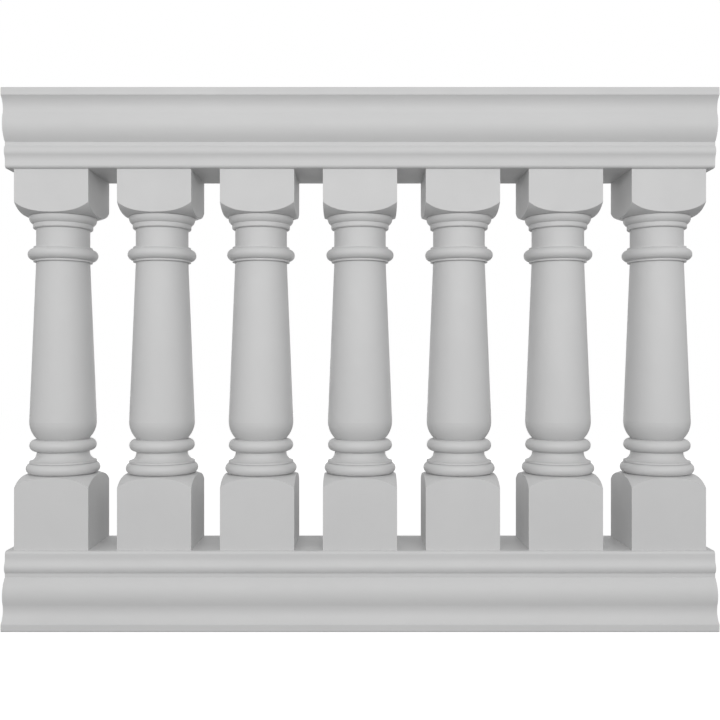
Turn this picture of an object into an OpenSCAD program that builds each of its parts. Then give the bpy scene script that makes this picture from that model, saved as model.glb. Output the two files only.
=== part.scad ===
// Moulded fibreglass balustrade: two moulded rails and a row of turned balusters.
// Millimetres, +Z up, X along the rails. The origin is on the ground, under the middle.

/* [Overall] */
// Height from the ground to the top of the top rail
overall_h = 914; // [860:1:1070]
// Number of balusters
baluster_count = 7; // [3:1:12]
// Spacing of the balusters, centre to centre
baluster_pitch = 175.3; // [150:0.1:220]
// Length of rail past the outer balusters' blocks
rail_overhang = 13; // [5:1:80]

/* [Rails] */
// Height of each rail
rail_h = 132; // [124:1:180]
// Width of the rail over its flat outer band
band_w = 175; // [168:1:190]
// Height of the outer band
band_h = 13.2; // [10:0.2:15]
// Rounding of the outer band's long edges
band_round = 2.5; // [1:0.25:4]
// Width of the rail at the bottom of its cove
cove_w = 155.4; // [150:0.2:160]
// Radius of the cove
cove_r = 28; // [26:0.5:32]
// Width of the rail at the crown of its ovolo
ovolo_w = 164; // [160:0.5:168]
// Radius of the ovolo
ovolo_r = 42; // [40:0.5:48]
// Distance from the outer face to the sharp edge where the ovolo ends
quirk_h = 87.5; // [86:0.5:90]
// Width of the rail at its plain inner part
frieze_w = 139; // [136:0.5:144]
// Width of the rail over its bead
bead_w = 147.8; // [145:0.2:152]
// Radius of the bead
bead_r = 12.5; // [12:0.1:14]
// Distance from the outer face to the middle of the bead
bead_h = 103.8; // [103:0.1:105]
// Radius of the hollow between the bead and the plain inner part
cavetto_r = 20.5; // [19:0.5:22]
// Wall thickness of the rail mouldings
rail_wall = 5; // [4:0.5:6]
// Thickness of the plates that close the rails and seat the balusters
seat_plate_t = 6; // [4:0.5:12]
// Thickness of the rail end caps
end_cap_t = 6; // [4:0.5:12]

/* [Baluster blocks] */
// Width and depth of the square blocks
block_w = 126.4; // [120:0.2:134]
// Height of the bottom block, up to the crown of its shoulder
bottom_block_h = 124.6; // [110:0.2:150]
// Height of the top block, from the crown of its shoulder
top_block_h = 74.7; // [66:0.1:90]
// Radius at the middle of the turned shoulder's rounding
shoulder_flat_r = 50.5; // [48:0.5:54]
// Radius of the turned shoulder's rounding
shoulder_round = 50; // [46:0.5:54]

// Wall thickness of the balusters, which are open at both ends
baluster_wall = 5; // [4:0.5:6]

/* [Baluster base] */
// Radius of the lower torus
lower_torus_r = 62.8; // [60:0.2:64]
// Height of the lower torus
lower_torus_h = 19.2; // [14:0.2:21]
// Radius of the fillet on the lower torus
base_fillet_r = 57; // [55:0.5:59]
// Height of that fillet
base_fillet_h = 2.9; // [2:0.1:6]
// Radius at the waist of the scotia
scotia_waist_r = 44.8; // [42:0.2:48]
// Radius of the scotia's hollow
scotia_round = 14.3; // [10:0.1:15]
// Height of the scotia
scotia_h = 17.2; // [15.2:0.2:20]
// Radius of the upper torus
upper_torus_r = 56.8; // [54:0.2:59]
// Height of the upper torus
upper_torus_h = 21; // [18:0.2:24]

/* [Baluster shaft] */
// Radius of the shaft where it springs from the upper torus
shaft_spring_r = 43.6; // [42:0.2:46]
// Radius of the shaft at its fullest
shaft_full_r = 57; // [54:0.5:59]
// Radius of the rounding that leads up to the fullest part
shaft_round = 43.5; // [40:0.5:48]
// Radius of the neck, and of the shaft's top
neck_r = 45.6; // [43:0.2:47]
// Height of the neck between the collar and the annulet
neck_h = 31.8; // [20:0.2:40]

/* [Baluster collar and cap] */
// Radius of the collar's torus
collar_torus_r = 59.6; // [56:0.2:62]
// Height of the collar's torus
collar_torus_h = 19.7; // [16:0.1:22]
// Radius of the collar's fillets
collar_fillet_r = 50.2; // [48:0.2:53]
// Height of each of the collar's fillets
collar_fillet_h = 3.2; // [2:0.2:8]
// Radius of the annulet
annulet_r = 50.8; // [48:0.2:52]
// Height of the annulet
annulet_h = 7; // [5:0.5:9]
// Rounding of the annulet's lower edge
annulet_round = 2.5; // [1:0.25:4]
// Height of the cap's quarter round and the plain edge above it
cap_h = 14; // [12.5:0.5:18]
// Radius of the cap's quarter round
cap_round = 11.6; // [9:0.2:12.2]

/* [Hidden] */
$fn = 96;
SIDES = ["left", "right"];

cut = 1; // how far a cutting shape runs past the face that it cuts
ogee_lap = 0.1; // how far one circle of a reverse curve laps the other, which leaves a faint arris
gelcoat = [0.80, 0.80, 0.80];

// Rails
rail_len = (baluster_count - 1) * baluster_pitch + block_w + 2 * rail_overhang;
moulding_len = rail_len - 2 * end_cap_t;
cove_x = cove_w / 2 + cove_r;
cove_h = band_h + sqrt(pow(cove_r, 2) - pow(cove_x - band_w / 2, 2));
arris_x = band_w / 2 - band_round;
arris_h = cove_h - sqrt(pow(cove_r + band_round - ogee_lap, 2) - pow(cove_x - arris_x, 2));
ovolo_x = ovolo_w / 2 - ovolo_r;
ovolo_h = cove_h + sqrt(pow(cove_r + ovolo_r - ogee_lap, 2) - pow(cove_x - ovolo_x, 2));
bead_x = bead_w / 2 - bead_r;
cavetto_x = frieze_w / 2 + cavetto_r;
cavetto_h = bead_h + sqrt(pow(bead_r + cavetto_r - ogee_lap, 2) - pow(cavetto_x - bead_x, 2));

// Baluster, with heights counted from its foot
baluster_h = overall_h - 2 * rail_h;
lower_torus_z = bottom_block_h;
base_fillet_z = lower_torus_z + lower_torus_h;
scotia_z = base_fillet_z + base_fillet_h;
upper_torus_z = scotia_z + scotia_h;
shaft_z = upper_torus_z + upper_torus_h;
shaft_full_z = shaft_z + sqrt(pow(shaft_round, 2) - pow(shaft_round - shaft_full_r + shaft_spring_r, 2));
top_block_z = baluster_h - top_block_h;
cap_z = top_block_z - cap_h;
annulet_z = cap_z - annulet_h;
neck_z = annulet_z - neck_h;
upper_fillet_z = neck_z - collar_fillet_h;
collar_torus_z = upper_fillet_z - collar_torus_h;
lower_fillet_z = collar_torus_z - collar_fillet_h;

// Distance from the outer face at which the cove turns into the ovolo
function ogee_h(inset) = cove_h + (ovolo_h - cove_h) * (cove_r + inset) / (cove_r + ovolo_r);
// Distance from the outer face at which the bead turns into the cavetto
function bead_end_h(inset) = bead_h + (cavetto_h - bead_h) * (bead_r - inset) / (bead_r + cavetto_r);

// A flat-sided stretch of a half outline, rounded at its low and high corners
module flat_stretch(half, low, high, low_round = 0, high_round = 0) {
    translate([0, low + low_round]) square([half, high - low - low_round - high_round]);
    translate([0, low]) square([half - max(low_round, high_round), high - low]);
    if (low_round > 0) translate([half - low_round, low + low_round]) circle(low_round);
    if (high_round > 0) translate([half - high_round, high - high_round]) circle(high_round);
}

// Half of the rail's moulded outline. X is the half width, and Y the distance from the wide
// outer face. An inset draws the inner side of a wall of that thickness, open at the face
// that the balusters meet.
module half_rail_outline(inset = 0) {
    ogee = ogee_h(inset);
    bead_end = bead_end_h(inset);
    inner_end = inset > 0 ? rail_h + cut : rail_h;
    difference() {
        flat_stretch(band_w / 2 - inset, inset, ogee, low_round = inset > 0 ? 0 : band_round);
        translate([cove_x, cove_h]) circle(cove_r + inset);
        if (inset == 0) polygon([[arris_x, arris_h], [cove_x, cove_h], [cove_x, arris_h]]);
    }
    if (inset == 0) translate([arris_x, arris_h]) circle(band_round);
    intersection() {
        translate([ovolo_x, ovolo_h]) circle(ovolo_r - inset);
        translate([0, cove_h]) square([ovolo_w / 2, quirk_h - cove_h]);
    }
    intersection() {
        translate([bead_x, bead_h]) circle(bead_r - inset);
        translate([0, quirk_h]) square([bead_w / 2, rail_h - quirk_h]);
    }
    difference() {
        translate([0, bead_end]) square([bead_w / 2 - inset, cavetto_h - bead_end]);
        translate([cavetto_x, cavetto_h]) circle(cavetto_r + inset);
    }
    flat_stretch(frieze_w / 2 - inset, ogee, inner_end, high_round = inset > 0 ? 0 : rail_wall);
}

module rail_outline(inset = 0) {
    for (side = [0, 1]) mirror([side, 0]) half_rail_outline(inset);
}

// Draws an outline upright across the rails and runs it along X from x0
module along_x(x0, length) {
    translate([x0, 0, 0]) rotate([90, 0, 90]) linear_extrude(length) children();
}

// Turns what is drawn for the bottom rail over to make the top rail
module at_top() {
    translate([0, 0, overall_h]) mirror([0, 0, 1]) children();
}

// Turns what is drawn for a baluster's foot over to make its top
module at_baluster_top() {
    translate([0, 0, baluster_h]) mirror([0, 0, 1]) children();
}

module rail_moulding() {
    color(gelcoat)
        along_x(-moulding_len / 2, moulding_len)
            difference() {
                rail_outline();
                rail_outline(rail_wall);
            }
}

module rail_seat_plate() {
    plate_w = frieze_w - 2 * rail_wall;
    color(gelcoat)
        translate([-moulding_len / 2, -plate_w / 2, rail_h - seat_plate_t])
            cube([moulding_len, plate_w, seat_plate_t]);
}

module rail_end_cap(side) {
    x0 = side == "left" ? -rail_len / 2 : rail_len / 2 - end_cap_t;
    color(gelcoat) along_x(x0, end_cap_t) rail_outline();
}

// A half-round ring between two heights, reaching out to radius r
module torus_outline(r, z, h) {
    translate([r - h / 2, z + h / 2]) circle(h / 2);
    translate([0, z]) square([r - h / 2, h]);
}

// A square block with a turned shoulder that is crowned at height h. An inset draws the inner
// side of a wall of that thickness, run past the block's open end.
module shouldered_block(h, inset = 0) {
    w = block_w - 2 * inset;
    foot = inset > 0 ? -cut : 0;
    spring = h - shoulder_round;
    shoulder_reach = shoulder_flat_r + shoulder_round - inset;
    intersection() {
        translate([-w / 2, -w / 2, foot]) cube([w, w, h - inset - foot]);
        rotate_extrude() {
            translate([0, foot]) square([shoulder_reach, spring - foot]);
            translate([0, foot]) square([shoulder_flat_r, h - inset - foot]);
            intersection() {
                translate([shoulder_flat_r, spring]) circle(shoulder_round - inset);
                translate([0, spring]) square([shoulder_reach, shoulder_round]);
            }
        }
    }
}

// The scotia: a hollow that rises from the base fillet to a narrow waist
module scotia_outline() {
    difference() {
        translate([0, scotia_z]) square([base_fillet_r, scotia_h]);
        translate([scotia_waist_r + scotia_round, scotia_z + scotia_round]) circle(scotia_round);
        translate([scotia_waist_r, scotia_z + scotia_round])
            square([base_fillet_r, scotia_h]);
    }
}

// The shaft rounds out from its spring and then tapers straight up to the collar
module shaft_outline() {
    intersection() {
        translate([shaft_full_r - shaft_round, shaft_full_z]) circle(shaft_round);
        translate([0, shaft_z]) square([shaft_full_r, shaft_full_z - shaft_z]);
    }
    polygon([
        [0, shaft_full_z], [shaft_full_r, shaft_full_z],
        [neck_r, lower_fillet_z], [0, lower_fillet_z]]);
}

module collar_outline() {
    translate([0, lower_fillet_z]) square([collar_fillet_r, collar_fillet_h]);
    torus_outline(collar_torus_r, collar_torus_z, collar_torus_h);
    translate([0, upper_fillet_z]) square([collar_fillet_r, collar_fillet_h]);
}

module cap_outline() {
    intersection() {
        translate([neck_r, cap_z + cap_round]) circle(cap_round);
        translate([0, cap_z]) square([neck_r + cap_round, cap_round]);
    }
    translate([0, cap_z]) square([neck_r, cap_h]);
    translate([0, cap_z + cap_round]) square([neck_r + cap_round, cap_h - cap_round]);
}

// The turned part, from the shoulder of one block to the shoulder of the other
module turned_part() {
    rotate_extrude() {
        torus_outline(lower_torus_r, lower_torus_z, lower_torus_h);
        translate([0, base_fillet_z]) square([base_fillet_r, base_fillet_h]);
        scotia_outline();
        torus_outline(upper_torus_r, upper_torus_z, upper_torus_h);
        shaft_outline();
        collar_outline();
        translate([0, neck_z]) square([neck_r, neck_h]);
        flat_stretch(annulet_r, annulet_z, cap_z + cap_round, low_round = annulet_round);
        cap_outline();
    }
}

// The hollow inside the turned part, which opens into the hollow of each block
module turned_hollow() {
    low_r = scotia_waist_r - baluster_wall;
    high_r = neck_r - baluster_wall;
    low_z = bottom_block_h - baluster_wall - cut;
    high_z = top_block_z + baluster_wall + cut;
    rotate_extrude()
        polygon([
            [0, low_z], [low_r, low_z], [low_r, shaft_z],
            [shaft_full_r - baluster_wall, shaft_full_z],
            [high_r, lower_fillet_z], [high_r, high_z], [0, high_z]]);
}

module baluster(number) {
    x = (number - (baluster_count + 1) / 2) * baluster_pitch;
    color(gelcoat)
        translate([x, 0, rail_h])
            difference() {
                union() {
                    shouldered_block(bottom_block_h);
                    turned_part();
                    at_baluster_top() shouldered_block(top_block_h);
                }
                shouldered_block(bottom_block_h, baluster_wall);
                turned_hollow();
                at_baluster_top() shouldered_block(top_block_h, baluster_wall);
            }
}

rail_moulding();  // bottom_rail
rail_seat_plate();  // bottom_rail_seat_plate
at_top() rail_moulding();  // top_rail
at_top() rail_seat_plate();  // top_rail_seat_plate
for (s = SIDES) rail_end_cap(s);
for (s = SIDES) at_top() rail_end_cap(s);
for (i = [1 : baluster_count]) baluster(i);
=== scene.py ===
import math

import bpy
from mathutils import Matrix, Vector


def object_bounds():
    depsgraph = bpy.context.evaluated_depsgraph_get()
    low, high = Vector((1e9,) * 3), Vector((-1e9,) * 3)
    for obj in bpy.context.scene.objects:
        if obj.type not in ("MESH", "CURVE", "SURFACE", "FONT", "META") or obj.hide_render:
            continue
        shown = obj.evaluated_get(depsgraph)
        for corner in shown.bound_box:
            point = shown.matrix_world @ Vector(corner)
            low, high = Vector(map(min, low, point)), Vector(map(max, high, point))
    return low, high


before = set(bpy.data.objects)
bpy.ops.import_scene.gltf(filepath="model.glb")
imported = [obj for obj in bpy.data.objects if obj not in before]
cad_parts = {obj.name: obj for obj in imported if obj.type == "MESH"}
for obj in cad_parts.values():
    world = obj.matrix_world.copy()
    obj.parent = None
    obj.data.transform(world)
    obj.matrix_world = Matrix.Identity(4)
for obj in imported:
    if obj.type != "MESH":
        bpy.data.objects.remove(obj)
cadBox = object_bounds()
print("frame loaded:", len(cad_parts), "nodes")


# Camera: straight on and level, at half the balustrade's height
cameraSetup = {"distance": 1.5706, "height": 0.45615, "lens": 44.28, "sensor": 36.0}


def addCamera(setup):
    data = bpy.data.cameras.new("camera")
    data.lens = setup["lens"]
    data.sensor_width = setup["sensor"]
    camera = bpy.data.objects.new("camera", data)
    camera.location = (0, -setup["distance"], setup["height"])
    camera.rotation_euler = (math.radians(90), 0, 0)
    bpy.context.collection.objects.link(camera)
    bpy.context.scene.camera = camera


addCamera(cameraSetup)
bpy.context.scene.view_settings.view_transform = "Standard"
print("camera set")


# Gelcoat: matt, off-white to grey, with the cloudiness and fine orange peel of a moulded skin.
# Depths are in metres, and a scale counts features per metre.
gelcoatResin = {"ior": 1.5, "specular": 0.4, "noiseLow": 0.3, "noiseHigh": 0.7}
railGelcoat = {
    "light": (0.650, 0.650, 0.650, 1),
    "dark": (0.625, 0.625, 0.626, 1),
    "stretch": (0.35, 1.0, 1.0),  # the clouds run along the rails
    "cloudScale": 9.0,
    "sheenScale": 26.0,
    "roughness": (0.50, 0.62),
    "waveScale": 34.0,
    "waveDepth": 0.00035,
    "peelScale": 620.0,
    "peelDepth": 0.00003,
}
balusterGelcoat = {
    "light": (0.652, 0.652, 0.652, 1),
    "dark": (0.628, 0.628, 0.629, 1),
    "stretch": (1.0, 1.0, 0.6),  # and up the balusters
    "cloudScale": 11.0,
    "sheenScale": 30.0,
    "roughness": (0.48, 0.60),
    "waveScale": 40.0,
    "waveDepth": 0.0003,
    "peelScale": 680.0,
    "peelDepth": 0.00003,
}


def noiseOn(nodes, links, mapping, scale, detail):
    noise = nodes.new("ShaderNodeTexNoise")
    noise.inputs["Scale"].default_value = scale
    noise.inputs["Detail"].default_value = detail
    links.new(mapping.outputs["Vector"], noise.inputs["Vector"])
    return noise


def bumpOn(nodes, links, height, depth, before=None):
    bump = nodes.new("ShaderNodeBump")
    bump.inputs["Strength"].default_value = 1.0
    bump.inputs["Distance"].default_value = depth
    links.new(height, bump.inputs["Height"])
    if before is not None:
        links.new(before.outputs["Normal"], bump.inputs["Normal"])
    return bump


def gelcoatMaterial(name, look):
    mat = bpy.data.materials.new(name)
    mat.use_nodes = True
    nodes, links = mat.node_tree.nodes, mat.node_tree.links
    bsdf = nodes["Principled BSDF"]
    bsdf.inputs["IOR"].default_value = gelcoatResin["ior"]
    bsdf.inputs["Specular IOR Level"].default_value = gelcoatResin["specular"]
    coords = nodes.new("ShaderNodeTexCoord")
    clouds = nodes.new("ShaderNodeMapping")
    clouds.inputs["Scale"].default_value = look["stretch"]
    links.new(coords.outputs["Object"], clouds.inputs["Vector"])
    even = nodes.new("ShaderNodeMapping")
    links.new(coords.outputs["Object"], even.inputs["Vector"])

    # Cloudy colour
    cloud = noiseOn(nodes, links, clouds, look["cloudScale"], 4.0)
    ramp = nodes.new("ShaderNodeValToRGB")
    ramp.color_ramp.elements[0].position = gelcoatResin["noiseLow"]
    ramp.color_ramp.elements[0].color = look["dark"]
    ramp.color_ramp.elements[1].position = gelcoatResin["noiseHigh"]
    ramp.color_ramp.elements[1].color = look["light"]
    links.new(cloud.outputs["Fac"], ramp.inputs["Fac"])
    links.new(ramp.outputs["Color"], bsdf.inputs["Base Color"])

    # Sheen that varies from place to place
    sheen = noiseOn(nodes, links, even, look["sheenScale"], 3.0)
    level = nodes.new("ShaderNodeMapRange")
    level.inputs["From Min"].default_value = gelcoatResin["noiseLow"]
    level.inputs["From Max"].default_value = gelcoatResin["noiseHigh"]
    level.inputs["To Min"].default_value = look["roughness"][0]
    level.inputs["To Max"].default_value = look["roughness"][1]
    links.new(sheen.outputs["Fac"], level.inputs["Value"])
    links.new(level.outputs[0], bsdf.inputs["Roughness"])

    # Slight waviness of the moulded wall, then the orange peel
    wave = noiseOn(nodes, links, even, look["waveScale"], 1.0)
    peel = noiseOn(nodes, links, even, look["peelScale"], 2.0)
    waveBump = bumpOn(nodes, links, wave.outputs["Fac"], look["waveDepth"])
    peelBump = bumpOn(nodes, links, peel.outputs["Fac"], look["peelDepth"], waveBump)
    links.new(peelBump.outputs["Normal"], bsdf.inputs["Normal"])
    return mat


def coat(node, material):
    node.data.materials.clear()
    node.data.materials.append(material)


railSkin = gelcoatMaterial("railGelcoat", railGelcoat)
balusterSkin = gelcoatMaterial("balusterGelcoat", balusterGelcoat)
for nodeName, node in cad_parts.items():
    coat(node, balusterSkin if nodeName.startswith("baluster_") else railSkin)
print("gelcoat on every moulding")


# Pale floor that keeps a soft shadow, and surroundings that look white and light softly
stageSetup = {
    "size": 12.0,
    "floorColour": (0.44, 0.44, 0.44, 1),
    "floorGlow": 0.78,  # only what the camera sees of the floor
    "ambient": 0.49,
}


def addFloor(setup):
    bpy.ops.mesh.primitive_plane_add(size=setup["size"], location=(0, 0, cadBox[0][2]))
    floor = bpy.context.object
    floor.name = "floor"
    mat = bpy.data.materials.new("floorPaint")
    mat.use_nodes = True
    nodes, links = mat.node_tree.nodes, mat.node_tree.links
    nodes.clear()
    out = nodes.new("ShaderNodeOutputMaterial")
    diffuse = nodes.new("ShaderNodeBsdfDiffuse")
    diffuse.inputs["Color"].default_value = setup["floorColour"]
    glow = nodes.new("ShaderNodeEmission")
    rays = nodes.new("ShaderNodeLightPath")
    scale = nodes.new("ShaderNodeMath")
    scale.operation = "MULTIPLY"
    scale.inputs[1].default_value = setup["floorGlow"]
    add = nodes.new("ShaderNodeAddShader")
    links.new(rays.outputs["Is Camera Ray"], scale.inputs[0])
    links.new(scale.outputs[0], glow.inputs["Strength"])
    links.new(diffuse.outputs[0], add.inputs[0])
    links.new(glow.outputs[0], add.inputs[1])
    links.new(add.outputs[0], out.inputs["Surface"])
    floor.data.materials.append(mat)


def addWorld(setup):
    world = bpy.data.worlds.new("studio")
    bpy.context.scene.world = world
    world.use_nodes = True
    nodes, links = world.node_tree.nodes, world.node_tree.links
    background = nodes["Background"]
    background.inputs["Color"].default_value = (1, 1, 1, 1)
    rays = nodes.new("ShaderNodeLightPath")
    seen = rays.outputs["Is Camera Ray"]
    for kind in ("Is Glossy Ray", "Is Transmission Ray"):
        either = nodes.new("ShaderNodeMath")
        either.operation = "MAXIMUM"
        links.new(seen, either.inputs[0])
        links.new(rays.outputs[kind], either.inputs[1])
        seen = either.outputs[0]
    level = nodes.new("ShaderNodeMapRange")
    level.inputs["To Min"].default_value = setup["ambient"]
    level.inputs["To Max"].default_value = 1.0
    links.new(seen, level.inputs["Value"])
    links.new(level.outputs[0], background.inputs["Strength"])


addFloor(stageSetup)
addWorld(stageSetup)
print("stage set")


# A long strip softbox in front, above the camera, and a weaker one low down behind
softboxAim = (0, 0, 0.457)
softboxSize = (4.5, 0.5)
keySoftbox = {"place": (0, -2.6, 1.3), "watts": 46}
backSoftbox = {"place": (0, 2.6, 0.25), "watts": 10}


def addAreaLight(name, setup):
    data = bpy.data.lights.new(name, "AREA")
    data.shape = "RECTANGLE"
    data.size, data.size_y = softboxSize
    data.energy = setup["watts"]
    light = bpy.data.objects.new(name, data)
    place = Vector(setup["place"])
    light.location = place
    light.rotation_euler = (Vector(softboxAim) - place).to_track_quat("-Z", "Y").to_euler()
    light.visible_camera = False
    bpy.context.collection.objects.link(light)


addAreaLight("keySoftbox", keySoftbox)
addAreaLight("backSoftbox", backSoftbox)
print("lights set")
